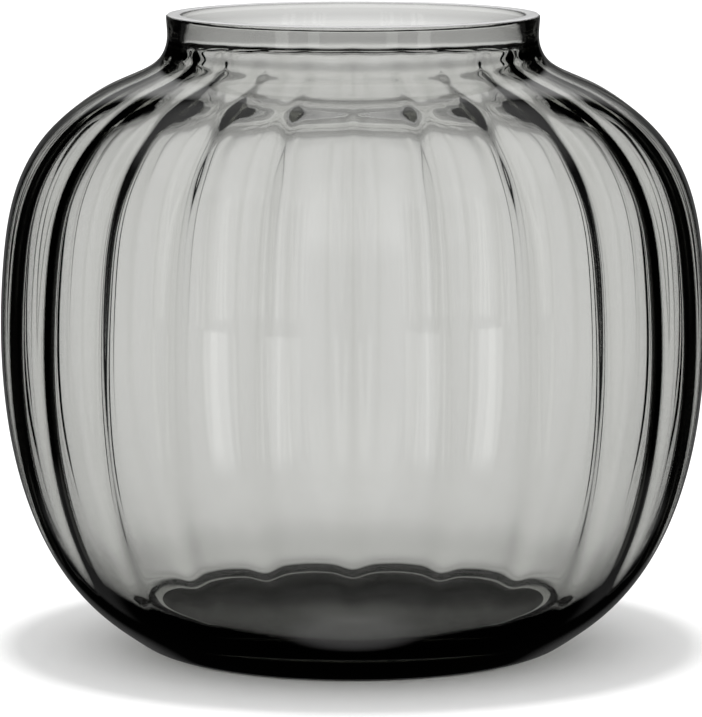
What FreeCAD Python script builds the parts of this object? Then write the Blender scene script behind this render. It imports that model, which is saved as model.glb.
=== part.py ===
import FreeCAD, Part
import math
import os

# One-piece blown glass vase: a squat rounded body, a short neck and 24 soft ribs inside.
# The origin is at the centre of the foot, +Z is up and every length is in millimetres.

# ---------------------------------------------------------------- driving dimensions
HEIGHT = 125.0                   # foot plane to ground rim
RIM_OUTER_RADIUS = 36.7
RIM_INNER_RADIUS = 33.7
RIM_BEVEL = 0.35                 # width of the small bevel on both edges of the ground rim

FOOT_RADIUS = 39.3               # outside of the flat ring that the vase stands on
RECESS_RADIUS = 35.0             # inside of that ring
RECESS_DEPTH = 1.2               # height of the shallow dome under the base

FLOOR_HEIGHT = 6.6               # thickness of the solid base, foot plane to inside floor
FLOOR_RADIUS = 41.5              # flat part of the inside floor

# Outside of the body from the foot up to the shoulder: radius, height and wall thickness there.
BODY_OUTLINE = [
    (43.9, 2.0, 4.6),
    (50.0, 6.5, 3.7),
    (56.2, 13.0, 2.9),
    (64.2, 28.0, 2.55),
    (69.1, 52.0, 2.45),
    (69.0, 76.0, 2.5),
    (65.9, 92.0, 2.5),
    (60.7, 101.0, 2.55),
    (54.2, 107.0, 2.55),
    (47.9, 111.0, 3.2),
]
WALL_FROM_ROW = 1                # the cavity follows the outline from this row upwards

# The neck: radius, height.
NECK_OUTSIDE = [(42.2, 113.5), (37.9, 116.5), (36.5, 120.5)]
NECK_INSIDE = [(40.2, 110.7), (36.2, 113.0), (34.1, 115.3), (34.0, 118.5)]

# Optic ribs on the inside of the wall: narrow crests between wider flutes.
RIB_COUNT = 24
RIB_WAVES = (0.40, 0.148, 0.056)  # first three waves of the rib's profile around the vase
RIB_SHARE_AT_FLOOR = 0.45        # relief low on the wall, as a share of the full relief
RIBS_FULL = (15.0, 85.0)         # heights between which the relief rises to the full one
RIBS_GROW = (11.0, 30.0)         # heights between which the ribs grow out of the smooth base
RIBS_SOFTEN = (96.0, 110.0)      # heights between which the shoulder softens them
RIB_SHARE_AT_NECK = 0.3          # what the shoulder leaves of the relief
RIBS_FADE = (114.0, 121.0)       # heights between which they die away below the rim

POINTS_ACROSS_RIB = 13           # surface points from one rib crest to the next
POINTS_UP_WALL = 60              # surface points from the floor to the rim
CUT_CLEARANCE = 2.0              # how far the cavity's cutting solid reaches above the rim
SAME_HEIGHT = 0.01               # edges closer than this to a height lie in its plane

AXIS_POINT = FreeCAD.Vector(0, 0, 0)
AXIS = FreeCAD.Vector(0, 0, 1)
OUTWARD = FreeCAD.Vector(1, 0, 0)


# ---------------------------------------------------------------- helpers
def point(radius, height, angle=0.0):
    """A point at a radius and a height, turned about the axis by an angle in radians."""
    return FreeCAD.Vector(radius * math.cos(angle), radius * math.sin(angle), height)


def spline(points, start_direction, end_direction):
    """Smooth curve through points, with a unit direction at each end."""
    curve = Part.BSplineCurve()
    curve.interpolate(
        Points=points,
        InitialTangent=start_direction,
        FinalTangent=end_direction,
        Scale=False,
    )
    return curve


def smooth_step(value, low, high):
    share = min(1.0, max(0.0, (value - low) / (high - low)))
    return share * share * (3.0 - 2.0 * share)


def inward_normal(curve, parameter):
    """Unit vector from a meridian towards the inside of the vase."""
    along = curve.tangent(parameter)[0]
    return FreeCAD.Vector(-along.z, 0, along.x)


# ---------------------------------------------------------------- outside
def body_curve():
    """Meridian of the outside, from the foot ring to the bevel of the rim."""
    points = [point(FOOT_RADIUS, 0)]
    points += [point(radius, height) for radius, height, wall in BODY_OUTLINE]
    points += [point(radius, height) for radius, height in NECK_OUTSIDE]
    points.append(point(RIM_OUTER_RADIUS, HEIGHT - RIM_BEVEL))
    return spline(points, OUTWARD, AXIS)


def recess_arc():
    """Half of the shallow arc under the base, from the axis to the foot ring."""
    sphere_radius = (RECESS_RADIUS ** 2 + RECESS_DEPTH ** 2) / (2 * RECESS_DEPTH)
    middle = RECESS_RADIUS / 2
    drop = sphere_radius - math.sqrt(sphere_radius ** 2 - middle ** 2)
    return Part.Arc(
        point(0, RECESS_DEPTH),
        point(middle, RECESS_DEPTH - drop),
        point(RECESS_RADIUS, 0),
    )


def outer_solid(body):
    """Everything inside the outer skin, before the cavity is cut."""
    rim_edge = point(RIM_OUTER_RADIUS - RIM_BEVEL, HEIGHT)
    edges = [
        recess_arc().toShape(),
        Part.makeLine(point(RECESS_RADIUS, 0), point(FOOT_RADIUS, 0)),
        body.toShape(),
        Part.makeLine(point(RIM_OUTER_RADIUS, HEIGHT - RIM_BEVEL), rim_edge),
        Part.makeLine(rim_edge, point(0, HEIGHT)),
        Part.makeLine(point(0, HEIGHT), point(0, RECESS_DEPTH)),
    ]
    face = Part.Face(Part.Wire(edges))
    return face.revolve(AXIS_POINT, AXIS, 360)


# ---------------------------------------------------------------- inside
def cavity_curve(body):
    """Meridian of the mean inside surface, from the flat floor to above the rim."""
    points = [point(FLOOR_RADIUS, FLOOR_HEIGHT)]
    for radius, height, wall in BODY_OUTLINE[WALL_FROM_ROW:]:
        on_body = point(radius, height)
        normal = inward_normal(body, body.parameter(on_body))
        points.append(on_body + normal * wall)
    points += [point(radius, height) for radius, height in NECK_INSIDE]
    points.append(point(RIM_INNER_RADIUS, HEIGHT - RIM_BEVEL))
    points.append(point(RIM_INNER_RADIUS, HEIGHT + CUT_CLEARANCE))
    return spline(points, OUTWARD, AXIS)


def rib_strength(height):
    """Share of the full relief that the ribs have at a height."""
    lower = RIB_SHARE_AT_FLOOR + (1 - RIB_SHARE_AT_FLOOR) * smooth_step(height, *RIBS_FULL)
    shoulder = 1 - (1 - RIB_SHARE_AT_NECK) * smooth_step(height, *RIBS_SOFTEN)
    grown = smooth_step(height, *RIBS_GROW)
    left = 1 - smooth_step(height, *RIBS_FADE)
    return lower * shoulder * grown * left


def rib_relief(height, angle):
    """How far the glass stands inward of the mean inside surface."""
    relief = 0.0
    for order, amplitude in enumerate(RIB_WAVES, start=1):
        relief += amplitude * math.cos(order * RIB_COUNT * angle)
    return relief * rib_strength(height)


def rib_face(cavity):
    """Inside surface from the crest of one rib to the crest of the next."""
    rib_angle = 2 * math.pi / RIB_COUNT
    rows = []
    for on_cavity in cavity.discretize(POINTS_UP_WALL):
        normal = inward_normal(cavity, cavity.parameter(on_cavity))
        row = []
        for column in range(POINTS_ACROSS_RIB):
            angle = rib_angle * column / (POINTS_ACROSS_RIB - 1)
            place = on_cavity + normal * rib_relief(on_cavity.z, angle)
            row.append(point(place.x, place.z, angle))
        rows.append(row)
    surface = Part.BSplineSurface()
    surface.interpolate(rows)
    return surface.toShape()


def cap(faces, height):
    """Flat face that closes the ring of faces at a height, made from their own edges."""
    edges = []
    for face in faces:
        for edge in face.Edges:
            lowest = abs(edge.BoundBox.ZMin - height)
            highest = abs(edge.BoundBox.ZMax - height)
            if max(lowest, highest) < SAME_HEIGHT:
                edges.append(edge)
    return Part.Face(Part.Wire(Part.__sortEdges__(edges)))


def cavity_solid(cavity):
    """Solid of the space inside the vase, ribs included, reaching above the rim."""
    one_rib = rib_face(cavity)
    walls = []
    for rib in range(RIB_COUNT):
        wall = one_rib.copy()
        wall.rotate(AXIS_POINT, AXIS, 360.0 * rib / RIB_COUNT)
        walls.append(wall)
    floor = cap(walls, FLOOR_HEIGHT)
    top = cap(walls, HEIGHT + CUT_CLEARANCE)
    shell = Part.makeShell(walls + [floor, top])
    shell.sewShape()
    solid = Part.makeSolid(shell)
    if solid.Volume < 0:
        solid.reverse()
    return solid


def rim_bevel_cone():
    """Cone that bevels the inner edge of the rim."""
    reach = RIM_BEVEL + CUT_CLEARANCE
    return Part.makeCone(
        RIM_INNER_RADIUS + RIM_BEVEL - reach,
        RIM_INNER_RADIUS + RIM_BEVEL + reach,
        2 * reach,
        point(0, HEIGHT - reach),
    )


# ---------------------------------------------------------------- the piece
def vase_body():
    body = body_curve()
    vase = outer_solid(body).cut(cavity_solid(cavity_curve(body)))
    return vase.cut(rim_bevel_cone())


os.makedirs("parts", exist_ok=True)
vase_body().exportStep("parts/vase_body.step")
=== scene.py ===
import math

import bpy
import numpy as np
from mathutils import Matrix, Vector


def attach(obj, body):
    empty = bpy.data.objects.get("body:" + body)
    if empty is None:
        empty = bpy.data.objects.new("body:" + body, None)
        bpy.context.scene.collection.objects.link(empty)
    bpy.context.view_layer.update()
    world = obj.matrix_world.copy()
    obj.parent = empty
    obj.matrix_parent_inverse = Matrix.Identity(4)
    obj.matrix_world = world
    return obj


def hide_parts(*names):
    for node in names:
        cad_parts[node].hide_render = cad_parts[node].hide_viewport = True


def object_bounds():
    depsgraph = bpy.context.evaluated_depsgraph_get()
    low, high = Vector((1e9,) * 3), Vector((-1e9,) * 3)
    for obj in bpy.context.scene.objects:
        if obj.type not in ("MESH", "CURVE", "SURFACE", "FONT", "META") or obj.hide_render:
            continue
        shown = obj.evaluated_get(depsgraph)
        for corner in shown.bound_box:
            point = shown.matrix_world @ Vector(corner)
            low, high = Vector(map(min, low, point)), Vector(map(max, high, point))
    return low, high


# A squat blown vase in smoke-grey glass: one piece, smooth outside, with 24 soft ribs inside.
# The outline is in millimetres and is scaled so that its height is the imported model's.

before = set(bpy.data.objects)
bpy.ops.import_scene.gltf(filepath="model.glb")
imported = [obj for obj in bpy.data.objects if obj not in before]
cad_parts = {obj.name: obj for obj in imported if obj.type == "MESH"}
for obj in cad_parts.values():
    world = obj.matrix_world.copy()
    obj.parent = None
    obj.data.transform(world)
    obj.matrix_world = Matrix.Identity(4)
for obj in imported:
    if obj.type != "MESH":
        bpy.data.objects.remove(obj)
cad_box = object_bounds()

# ---------------------------------------------------------------- the vase, millimetres
HEIGHT = 125.0
RIM_OUTER_RADIUS = 36.7
RIM_INNER_RADIUS = 33.7
RIM_BEVEL = 0.35
FOOT_RADIUS = 39.3
RECESS_RADIUS = 35.0
RECESS_DEPTH = 1.2
CENTRE_RADIUS = 1.0              # of the small flat caps that close the mesh on the axis
FLOOR_HEIGHT = 6.6
FLOOR_RADIUS = 41.5

# Outside of the body from the foot up to the shoulder: radius, height and wall thickness there.
BODY_OUTLINE = [
    (43.9, 2.0, 4.6),
    (50.0, 6.5, 3.7),
    (56.2, 13.0, 2.9),
    (64.2, 28.0, 2.55),
    (69.1, 52.0, 2.45),
    (69.0, 76.0, 2.5),
    (65.9, 92.0, 2.5),
    (60.7, 101.0, 2.55),
    (54.2, 107.0, 2.55),
    (47.9, 111.0, 3.2),
]
WALL_FROM_ROW = 1                # the inside follows the outline from this row upwards

# The neck: radius, height.
NECK_OUTSIDE = [(42.2, 113.5), (37.9, 116.5), (36.5, 120.5)]
NECK_INSIDE = [(40.2, 110.7), (36.2, 113.0), (34.1, 115.3), (34.0, 118.5)]

# Optic ribs on the inside: narrow crests between wider flutes.
RIB_COUNT = 24
RIB_WAVES = (0.40, 0.148, 0.056)  # first three waves of the rib's profile around the vase
RIB_SHARE_AT_FLOOR = 0.45        # relief low on the wall, as a share of the full relief
RIBS_FULL = (15.0, 85.0)         # heights between which the relief rises to the full one
RIBS_GROW = (11.0, 30.0)         # heights between which the ribs grow out of the smooth base
RIBS_SOFTEN = (96.0, 110.0)      # heights between which the shoulder softens them
RIB_SHARE_AT_NECK = 0.3          # what the shoulder leaves of the relief
RIBS_FADE = (114.0, 121.0)       # heights between which they die away below the rim

# Mesh density.
COLUMNS = RIB_COUNT * 16
ROWS_OUTSIDE = 108
ROWS_INSIDE = 126
ROWS_UNDER = 7
ROWS_ON_FLOOR = 7
ROWS_ON_RIM = 3
FINE_STEPS = 4000                # points along a meridian from which rows and walls are measured

METRES = (cad_box[1].z - cad_box[0].z) / HEIGHT

# ---------------------------------------------------------------- the glass
ABSORPTION = 91.5                # per metre, in the colour that the glass absorbs most
ABSORBED_LESS = (0.065, 0.075, 0.0)  # share of it that red, green and blue are spared
GLASS_IOR = 1.51
RIM_HAZE = 0.3                   # roughness of the ground top of the rim
RIM_WHITENESS = 0.5              # share of light that the ground top scatters
WAVES_PER_METRE = (26.0, 26.0, 90.0)  # slow waviness of the turned surface, flatter than wide
WAVE_DEPTH = 0.00006
SEED_CELLS_PER_METRE = 38.0      # tiny seeds in the glass, at most one in each cell
SEED_SIZE = 0.012                # of a cell
SEED_DEPTH = 0.00006

# ---------------------------------------------------------------- the studio
FLOOR_GREY = 0.85
FLOOR_ROUGHNESS = 0.9
PAINTED_SHADOW_GREY = 0.08               # painted shadow: grey of the dark disc under the solid base, where the floor lies in shade
FLOOR_FILL = 1.1                 # light that reaches the floor from every side
OVERHEAD_GLOW = 0.8              # and from high overhead
SUN_STRENGTH = 1.2
SUN_ANGLE = 7.0
MIRRORED_SHARE = 0.1             # of the screens' light, once mirrored in the glass
CORNER_LIGHT = 0.7
EDGE_LIGHT = 0.002               # faint light from everywhere else
DOME_LIGHT = 0.5                 # dim light from overhead, mirrored in the glass
DOME_EDGE = (36.0, 50.0)         # elevations between which it rises
OVERHEAD_EDGE = (60.0, 70.0)     # the same for the stronger floor light
FLOOR_SEEN = 0.5                 # the pale floor, seen steeply down through the glass
FLOOR_SEEN_EDGE = (-74.0, -84.0)  # elevations between which it comes into sight

# Half-widths in degrees where a screen's light is gone and where it is full.
SCREEN_EDGE = (20.5, 14.5)
CORNER_EDGE = (16.0, 11.0)

# Elevations where the corner screens are dark and full, at the bottom and at the top.
TALL_CORNER = ((-51, -45), (51, 45))
LOW_CORNER = ((-40, -34), (-17, -21))
FRONT_TO_BACK = 0.1              # how far from the side the corner screens fade in

# Brightness of the four tall screens, and of the high light mirrored in the glass, against
# elevation in degrees.
SCREEN_LIGHT = [
    (-33, 0.0),
    (-25, 0.58),
    (-20, 0.62),
    (-14, 0.93),
    (-8, 1.03),
    (-2, 0.99),
    (4, 0.6),
    (40, 0.6),
    (60, 0.05),
]
HIGH_LIGHT = [(-1, 0.0), (13, 0.15), (26, 0.85), (60, 0.88), (75, 0.5)]

# Soft boxes, mirrored on either side of the front: turn from the front in degrees, half-width,
# strength. Then the elevations where they are dark and full, at the bottom and at the top.
SOFT_BOXES = [(44.5, 4.2, 1.6), (24.0, 3.6, 1.2)]
SOFT_BOX_BOTTOM = (-27.7, -20.2)
SOFT_BOX_TOP = (-1.9, -2.6)
SOFT_BOX_BLUR = 0.15             # blur of their upright edges, as a share of the half-width

# Floor discs, metres: one for the room and a dark one under the vase, a painted shadow.
ROOM_RADIUS = 8.0
ROOM_FLOOR_LEVEL = -0.0003
UNDER_VASE_LEVEL = -0.0001
DISC_SIDES = 96

# Camera, metres and degrees: in front of the vase, looking slightly down.
CAMERA_PLACE = (-0.0004, -0.970, 0.1925)
CAMERA_DOWN = 7.97
CAMERA_LENS = 248.3
CAMERA_SEES = (0.05, 20.0)
LIGHT_BOUNCES = 32
NEARLY_ZERO = 0.0001
BRIGHTEST_BOUNCE = 10.0


# ---------------------------------------------------------------- curves
def spline_slopes(points, step, start, end):
    """Slopes of the smooth cubic spline through points, with a unit direction at each end."""
    count = len(points)
    rows = np.zeros((count, count))
    sides = np.zeros((count, 2))
    rows[0, 0] = 1.0
    rows[-1, -1] = 1.0
    sides[0] = start
    sides[-1] = end
    for i in range(1, count - 1):
        before = step[i - 1]
        after = step[i]
        rows[i, i - 1] = after
        rows[i, i] = 2.0 * (before + after)
        rows[i, i + 1] = before
        incoming = after * (points[i] - points[i - 1]) / before
        outgoing = before * (points[i + 1] - points[i]) / after
        sides[i] = 3.0 * (incoming + outgoing)
    return np.linalg.solve(rows, sides)


def smooth_line(points, start, end):
    """Function from distances along a smooth curve to points on it, and the given points' own."""
    points = np.array(points, float)
    step = np.linalg.norm(np.diff(points, axis=0), axis=1)
    knots = np.concatenate([[0.0], np.cumsum(step)])
    slopes = spline_slopes(points, step, start, end)

    def at(distance):
        i = np.clip(np.searchsorted(knots, distance, side="right") - 1, 0, len(step) - 1)
        length = step[i][:, None]
        t = (distance - knots[i])[:, None] / length
        place = (2 * t**3 - 3 * t**2 + 1) * points[i] + (3 * t**2 - 2 * t**3) * points[i + 1]
        leave = (t**3 - 2 * t**2 + t) * slopes[i]
        arrive = (t**3 - t**2) * slopes[i + 1]
        return place + length * (leave + arrive)

    return at, knots


def inward_normals(line):
    """Unit vectors from a meridian towards the inside of the vase."""
    length = np.concatenate([[0.0], np.cumsum(np.linalg.norm(np.diff(line, axis=0), axis=1))])
    along = np.gradient(line, length, axis=0)
    along /= np.linalg.norm(along, axis=1)[:, None]
    return np.stack([-along[:, 1], along[:, 0]], 1)


def row_distances(line, length, count):
    """Distances along a meridian for the rows of a mesh, closer together where it bends."""
    fine = np.linspace(0.0, length, FINE_STEPS)
    along = np.gradient(line(fine), axis=0)
    turn = np.abs(np.diff(np.unwrap(np.arctan2(along[:, 1], along[:, 0]))))
    share = turn / turn.sum() + 1.0 / len(turn)
    progress = np.concatenate([[0.0], np.cumsum(share)])
    return np.interp(np.linspace(0.0, progress[-1], count), progress, fine)


def outside_line():
    """Meridian of the outside, from the foot ring to the bevel of the rim."""
    points = [(FOOT_RADIUS, 0.0)]
    points += [(radius, height) for radius, height, wall in BODY_OUTLINE]
    points += NECK_OUTSIDE
    points.append((RIM_OUTER_RADIUS, HEIGHT - RIM_BEVEL))
    return smooth_line(points, (1.0, 0.0), (0.0, 1.0))


def inside_line(outside, knots):
    """Meridian of the mean inside surface, from the flat floor to the bevel of the rim."""
    fine = np.linspace(0.0, knots[-1], FINE_STEPS)
    normals = inward_normals(outside(fine))
    points = [(FLOOR_RADIUS, FLOOR_HEIGHT)]
    for row in range(WALL_FROM_ROW, len(BODY_OUTLINE)):
        radius, height, wall = BODY_OUTLINE[row]
        nearest = np.argmin(np.abs(fine - knots[row + 1]))
        points.append(np.array([radius, height]) + normals[nearest] * wall)
    points += NECK_INSIDE
    points.append((RIM_INNER_RADIUS, HEIGHT - RIM_BEVEL))
    return smooth_line(points, (1.0, 0.0), (0.0, 1.0))


# ---------------------------------------------------------------- the mesh
def smooth_step(value, low, high):
    share = np.clip((value - low) / (high - low), 0.0, 1.0)
    return share * share * (3.0 - 2.0 * share)


def rib_strength(height):
    """Share of the full relief that the ribs have at a height."""
    lower = RIB_SHARE_AT_FLOOR + (1 - RIB_SHARE_AT_FLOOR) * smooth_step(height, *RIBS_FULL)
    shoulder = 1 - (1 - RIB_SHARE_AT_NECK) * smooth_step(height, *RIBS_SOFTEN)
    grown = smooth_step(height, *RIBS_GROW)
    left = 1 - smooth_step(height, *RIBS_FADE)
    return lower * shoulder * grown * left


def ring_angles():
    return np.linspace(0.0, 2.0 * math.pi, COLUMNS, endpoint=False)


def plain_rings(line):
    """One round ring of points for each point of a line."""
    angles = ring_angles()
    radius = line[:, :1]
    height = line[:, 1:] + 0.0 * angles
    return np.stack([radius * np.cos(angles), radius * np.sin(angles), height], 2)


def ribbed_rings(line):
    """Rings of the inside, pushed inward along the wall's normal by the ribs."""
    angles = ring_angles()
    wave = sum(
        amplitude * np.cos(order * RIB_COUNT * angles)
        for order, amplitude in enumerate(RIB_WAVES, start=1)
    )
    relief = rib_strength(line[:, 1])[:, None] * wave
    normals = inward_normals(line)
    radius = line[:, :1] + normals[:, :1] * relief
    height = line[:, 1:] + normals[:, 1:] * relief
    return np.stack([radius * np.cos(angles), radius * np.sin(angles), height], 2)


def level_line(from_radius, to_radius, height, count):
    """Evenly spaced points of a flat ring, both edges included."""
    radii = np.linspace(from_radius, to_radius, count)
    return np.stack([radii, np.full(count, height)], 1)


def recess_line():
    """The shallow dome under the base, from near the axis to the foot ring."""
    sphere = (RECESS_RADIUS**2 + RECESS_DEPTH**2) / (2 * RECESS_DEPTH)
    radii = np.linspace(CENTRE_RADIUS, RECESS_RADIUS, ROWS_UNDER)
    drop = sphere - np.sqrt(sphere**2 - radii**2)
    return np.stack([radii, RECESS_DEPTH - drop], 1)


def vase_rings():
    """Every ring of the vase, from under the base, over the rim, to the inside floor."""
    outside, outside_knots = outside_line()
    inside, inside_knots = inside_line(outside, outside_knots)
    outer = outside(row_distances(outside, outside_knots[-1], ROWS_OUTSIDE))
    inner = inside(row_distances(inside, inside_knots[-1], ROWS_INSIDE))
    rim = level_line(RIM_OUTER_RADIUS - RIM_BEVEL, RIM_INNER_RADIUS + RIM_BEVEL, HEIGHT, ROWS_ON_RIM)
    floor = level_line(FLOOR_RADIUS, CENTRE_RADIUS, FLOOR_HEIGHT, ROWS_ON_FLOOR)
    rings = [
        plain_rings(recess_line()),
        plain_rings(outer),
        plain_rings(rim),
        ribbed_rings(inner)[::-1],
        plain_rings(floor[1:]),
    ]
    return np.concatenate(rings)


def closed_mesh(name, rings):
    """Closed surface through the rings, with a flat cap on the first and the last."""
    rows, columns, _ = rings.shape
    index = np.arange(rows * columns).reshape(rows, columns)
    following = np.roll(index, -1, axis=1)
    quads = np.stack([index[:-1], following[:-1], following[1:], index[1:]], 2)
    faces = quads.reshape(-1, 4).tolist()
    faces.append(index[0][::-1].tolist())
    faces.append(index[-1].tolist())
    mesh = bpy.data.meshes.new(name)
    mesh.from_pydata((rings.reshape(-1, 3) * METRES).tolist(), [], faces)
    mesh.validate()
    mesh.shade_smooth()
    mesh.update()
    return mesh


def add_object(name, data):
    obj = bpy.data.objects.new(name, data)
    bpy.context.scene.collection.objects.link(obj)
    return obj


# ---------------------------------------------------------------- shader helpers
def math_node(tree, operation, *values):
    node = tree.nodes.new("ShaderNodeMath")
    node.operation = operation
    for socket, value in zip(node.inputs, values):
        if isinstance(value, (int, float)):
            socket.default_value = value
        else:
            tree.links.new(value, socket)
    return node.outputs[0]


def smooth_map(tree, value, low, high):
    """0 at low and 1 at high, with a smooth change between them."""
    node = tree.nodes.new("ShaderNodeMapRange")
    node.interpolation_type = "SMOOTHSTEP"
    node.inputs["From Min"].default_value = low
    node.inputs["From Max"].default_value = high
    tree.links.new(value, node.inputs["Value"])
    return node.outputs["Result"]


def sine(degrees):
    return math.sin(math.radians(degrees))


def cosine(degrees):
    return math.cos(math.radians(degrees))


# ---------------------------------------------------------------- materials
def bumped(tree, height, distance, normal=None):
    """Normal of a surface raised by height times distance."""
    node = tree.nodes.new("ShaderNodeBump")
    node.inputs["Strength"].default_value = 1.0
    node.inputs["Distance"].default_value = distance
    tree.links.new(height, node.inputs["Height"])
    if normal is not None:
        tree.links.new(normal, node.inputs["Normal"])
    return node.outputs["Normal"]


def glass_normal(tree, place):
    """Slow waviness of blown glass, with a few tiny seeds."""
    flattened = tree.nodes.new("ShaderNodeVectorMath")
    flattened.operation = "MULTIPLY"
    flattened.inputs[1].default_value = WAVES_PER_METRE
    tree.links.new(place, flattened.inputs[0])
    waves = tree.nodes.new("ShaderNodeTexNoise")
    waves.inputs["Scale"].default_value = 1.0
    waves.inputs["Detail"].default_value = 1.0
    tree.links.new(flattened.outputs["Vector"], waves.inputs["Vector"])
    wavy = bumped(tree, waves.outputs["Fac"], WAVE_DEPTH)
    cells = tree.nodes.new("ShaderNodeTexVoronoi")
    cells.inputs["Scale"].default_value = SEED_CELLS_PER_METRE
    tree.links.new(place, cells.inputs["Vector"])
    seeds = smooth_map(tree, cells.outputs["Distance"], SEED_SIZE, 0.0)
    return bumped(tree, seeds, SEED_DEPTH, wavy)


def glass_material():
    """Smoke-grey glass: clear surface, colour in the depth, a slightly hazy ground rim."""
    material = bpy.data.materials.new("smoke_glass")
    material.use_nodes = True
    tree = material.node_tree
    surface = tree.nodes["Principled BSDF"]
    surface.inputs["Base Color"].default_value = (1.0, 1.0, 1.0, 1.0)
    surface.inputs["IOR"].default_value = GLASS_IOR
    place = tree.nodes.new("ShaderNodeTexCoord").outputs["Object"]
    split = tree.nodes.new("ShaderNodeSeparateXYZ")
    tree.links.new(place, split.inputs[0])
    rim_edge = (HEIGHT - RIM_BEVEL) * METRES
    on_rim = smooth_map(tree, split.outputs["Z"], rim_edge, HEIGHT * METRES)
    haze = math_node(tree, "MULTIPLY", on_rim, RIM_HAZE)
    clear = math_node(tree, "MULTIPLY_ADD", on_rim, -RIM_WHITENESS, 1.0)
    tree.links.new(haze, surface.inputs["Roughness"])
    tree.links.new(clear, surface.inputs["Transmission Weight"])
    tree.links.new(glass_normal(tree, place), surface.inputs["Normal"])
    depth = tree.nodes.new("ShaderNodeVolumeAbsorption")
    depth.inputs["Color"].default_value = (*ABSORBED_LESS, 1.0)
    depth.inputs["Density"].default_value = ABSORPTION
    output = tree.nodes["Material Output"]
    tree.links.new(depth.outputs["Volume"], output.inputs["Volume"])
    return material


def floor_material(name, grey):
    material = bpy.data.materials.new(name)
    material.use_nodes = True
    surface = material.node_tree.nodes["Principled BSDF"]
    surface.inputs["Base Color"].default_value = (grey, grey, grey, 1.0)
    surface.inputs["Roughness"].default_value = FLOOR_ROUGHNESS
    surface.inputs["Specular IOR Level"].default_value = 0.0
    return material


# ---------------------------------------------------------------- the studio's light
def light_by_height(tree, height, steps):
    """Brightness that follows a list of (elevation in degrees, brightness)."""
    ramp = tree.nodes.new("ShaderNodeValToRGB")
    stops = ramp.color_ramp.elements
    stops.remove(stops[-1])
    for number, (elevation, brightness) in enumerate(steps):
        place = 0.5 + 0.5 * sine(elevation)
        stop = stops[0] if number == 0 else stops.new(place)
        stop.position = place
        stop.color = (brightness, brightness, brightness, 1.0)
    tree.links.new(math_node(tree, "MULTIPLY_ADD", height, 0.5, 0.5), ramp.inputs["Fac"])
    return ramp.outputs["Color"]


def between_heights(tree, height, bottom, top):
    """1 between two soft edges, each given as the elevations where it is 0 and 1."""
    rise = smooth_map(tree, height, sine(bottom[0]), sine(bottom[1]))
    fall = smooth_map(tree, height, sine(top[0]), sine(top[1]))
    return math_node(tree, "MULTIPLY", rise, fall)


def screen_light(tree, four_fold, height):
    """Four tall screens, square to the camera and around the vase."""
    across = smooth_map(tree, four_fold, *[cosine(4 * edge) for edge in SCREEN_EDGE])
    return math_node(tree, "MULTIPLY", across, light_by_height(tree, height, SCREEN_LIGHT))


def corner_light(tree, four_fold, depth, height):
    """Narrow screens between the tall ones: full height in front, low ones behind."""
    across = smooth_map(tree, four_fold, *[-cosine(4 * edge) for edge in CORNER_EDGE])
    front = smooth_map(tree, depth, 0.0, -FRONT_TO_BACK)
    back = smooth_map(tree, depth, 0.0, FRONT_TO_BACK)
    tall = math_node(tree, "MULTIPLY", front, between_heights(tree, height, *TALL_CORNER))
    low = math_node(tree, "MULTIPLY", back, between_heights(tree, height, *LOW_CORNER))
    both = math_node(tree, "ADD", tall, low)
    return math_node(tree, "MULTIPLY", math_node(tree, "MULTIPLY", across, both), CORNER_LIGHT)


def soft_box_light(tree, side, depth, height):
    """Upright soft boxes in front, one of each kind on either side of the camera."""
    behind_camera = math_node(tree, "MULTIPLY", depth, -1.0)
    turn = math_node(tree, "ARCTAN2", math_node(tree, "ABSOLUTE", side), behind_camera)
    upright = between_heights(tree, height, SOFT_BOX_BOTTOM, SOFT_BOX_TOP)
    total = 0.0
    for middle, half_width, strength in SOFT_BOXES:
        offset = math_node(tree, "SUBTRACT", turn, math.radians(middle))
        offset = math_node(tree, "ABSOLUTE", offset)
        edge = math.radians(half_width)
        outer = edge * (1.0 + SOFT_BOX_BLUR)
        across = smooth_map(tree, offset, outer, edge * (1.0 - SOFT_BOX_BLUR))
        box = math_node(tree, "MULTIPLY", across, upright)
        total = math_node(tree, "MULTIPLY_ADD", box, strength, total)
    return total


def high_light(tree, depth, height):
    """High light in front and behind and a dimmer dome, as the glass mirrors them."""
    level = math_node(tree, "SUBTRACT", 1.0, math_node(tree, "MULTIPLY", height, height))
    level = math_node(tree, "MAXIMUM", level, NEARLY_ZERO)
    facing = math_node(tree, "ABSOLUTE", depth)
    facing = math_node(tree, "DIVIDE", facing, math_node(tree, "SQRT", level))
    across = smooth_map(tree, facing, *[cosine(edge) for edge in SCREEN_EDGE])
    banks = math_node(tree, "MULTIPLY", across, light_by_height(tree, height, HIGH_LIGHT))
    dome = smooth_map(tree, height, *[sine(edge) for edge in DOME_EDGE])
    dome = math_node(tree, "MULTIPLY", dome, DOME_LIGHT)
    return math_node(tree, "MAXIMUM", banks, dome)


def floor_light(tree, height):
    """Even light on the floor, stronger from high overhead."""
    zenith = smooth_map(tree, height, *[sine(edge) for edge in OVERHEAD_EDGE])
    return math_node(tree, "MULTIPLY_ADD", zenith, OVERHEAD_GLOW, FLOOR_FILL)


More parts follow.
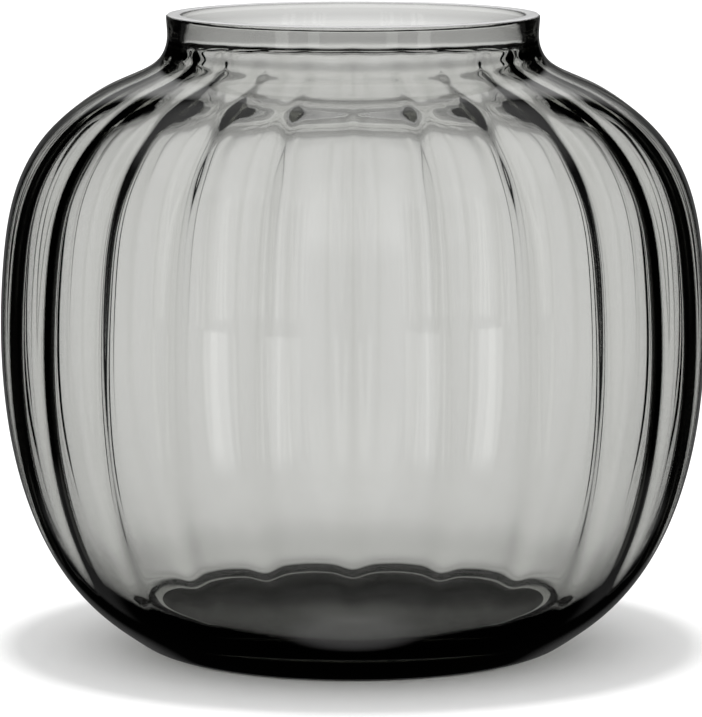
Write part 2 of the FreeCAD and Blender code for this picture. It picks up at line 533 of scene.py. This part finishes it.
def build_world():
    """White room as seen directly; screens in the glass; even light on the floor."""
    world = bpy.data.worlds.new("studio")
    bpy.context.scene.world = world
    world.use_nodes = True
    tree = world.node_tree
    direction = tree.nodes.new("ShaderNodeSeparateXYZ")
    tree.links.new(tree.nodes.new("ShaderNodeTexCoord").outputs["Generated"], direction.inputs[0])
    side, depth, height = direction.outputs
    turn = math_node(tree, "ARCTAN2", depth, side)
    four_fold = math_node(tree, "COSINE", math_node(tree, "MULTIPLY", turn, 4.0))
    path = tree.nodes.new("ShaderNodeLightPath").outputs

    screens = screen_light(tree, four_fold, height)
    screens = math_node(tree, "ADD", screens, corner_light(tree, four_fold, depth, height))
    mirrored = math_node(tree, "GREATER_THAN", path["Glossy Depth"], 0.5)
    dimming = math_node(tree, "MULTIPLY_ADD", mirrored, MIRRORED_SHARE - 1.0, 1.0)
    screens = math_node(tree, "MULTIPLY", screens, dimming)
    above = math_node(tree, "MULTIPLY", high_light(tree, depth, height), mirrored)
    light = math_node(tree, "MAXIMUM", screens, above)
    boxes = math_node(tree, "MULTIPLY", soft_box_light(tree, side, depth, height), mirrored)
    light = math_node(tree, "ADD", light, boxes)
    light = math_node(tree, "ADD", light, EDGE_LIGHT)
    below = smooth_map(tree, height, *[sine(edge) for edge in FLOOR_SEEN_EDGE])
    light = math_node(tree, "MULTIPLY_ADD", below, FLOOR_SEEN, light)

    on_floor = math_node(tree, "GREATER_THAN", path["Diffuse Depth"], 0.5)
    on_floor = math_node(tree, "MULTIPLY", on_floor, floor_light(tree, height))
    light = math_node(tree, "MAXIMUM", light, on_floor)
    light = math_node(tree, "MAXIMUM", light, path["Is Camera Ray"])
    tree.links.new(light, tree.nodes["Background"].inputs["Strength"])
    tree.nodes["Background"].inputs["Color"].default_value = (1.0, 1.0, 1.0, 1.0)


def build_sun():
    """Soft light from straight above that shades the floor and doesn't show in the glass."""
    data = bpy.data.lights.new("top_light", "SUN")
    data.energy = SUN_STRENGTH
    data.angle = math.radians(SUN_ANGLE)
    data.specular_factor = 0.0
    sun = add_object("top_light", data)
    sun.visible_glossy = False
    sun.visible_transmission = False


def floor_disc(name, radius, height, material):
    angles = [2.0 * math.pi * i / DISC_SIDES for i in range(DISC_SIDES)]
    points = [(radius * math.cos(a), radius * math.sin(a), height) for a in angles]
    mesh = bpy.data.meshes.new(name)
    mesh.from_pydata(points, [], [tuple(range(DISC_SIDES))])
    mesh.materials.append(material)
    disc = add_object(name, mesh)
    return disc


def build_floor():
    pale = floor_material("pale_floor", FLOOR_GREY)
    floor = floor_disc("studio_floor", ROOM_RADIUS, ROOM_FLOOR_LEVEL, pale)
    floor.visible_transmission = False
    floor.visible_glossy = False
    # painted shadow: a dark grey disc under the foot, where the floor lies in shade
    painted_shadow = floor_material("painted_shadow_floor", PAINTED_SHADOW_GREY)
    floor_disc("painted_shadow_disc", FOOT_RADIUS * METRES, UNDER_VASE_LEVEL, painted_shadow)


def build_camera():
    data = bpy.data.cameras.new("camera")
    data.sensor_width = 36.0
    data.lens = CAMERA_LENS
    data.clip_start, data.clip_end = CAMERA_SEES
    camera = add_object("camera", data)
    camera.location = CAMERA_PLACE
    camera.rotation_euler = (math.radians(90.0 - CAMERA_DOWN), 0.0, 0.0)
    bpy.context.scene.camera = camera


def set_light_paths():
    scene = bpy.context.scene
    scene.view_settings.view_transform = "Standard"
    scene.cycles.max_bounces = LIGHT_BOUNCES
    scene.cycles.transmission_bounces = LIGHT_BOUNCES
    scene.cycles.glossy_bounces = LIGHT_BOUNCES
    scene.cycles.sample_clamp_indirect = BRIGHTEST_BOUNCE


# ---------------------------------------------------------------- the scene
vase = add_object("glass_vase", closed_mesh("glass_vase", vase_rings()))
vase.data.materials.append(glass_material())
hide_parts("vase_body")
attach(vase, "root")

build_world()
build_sun()
build_floor()
build_camera()
set_light_paths()
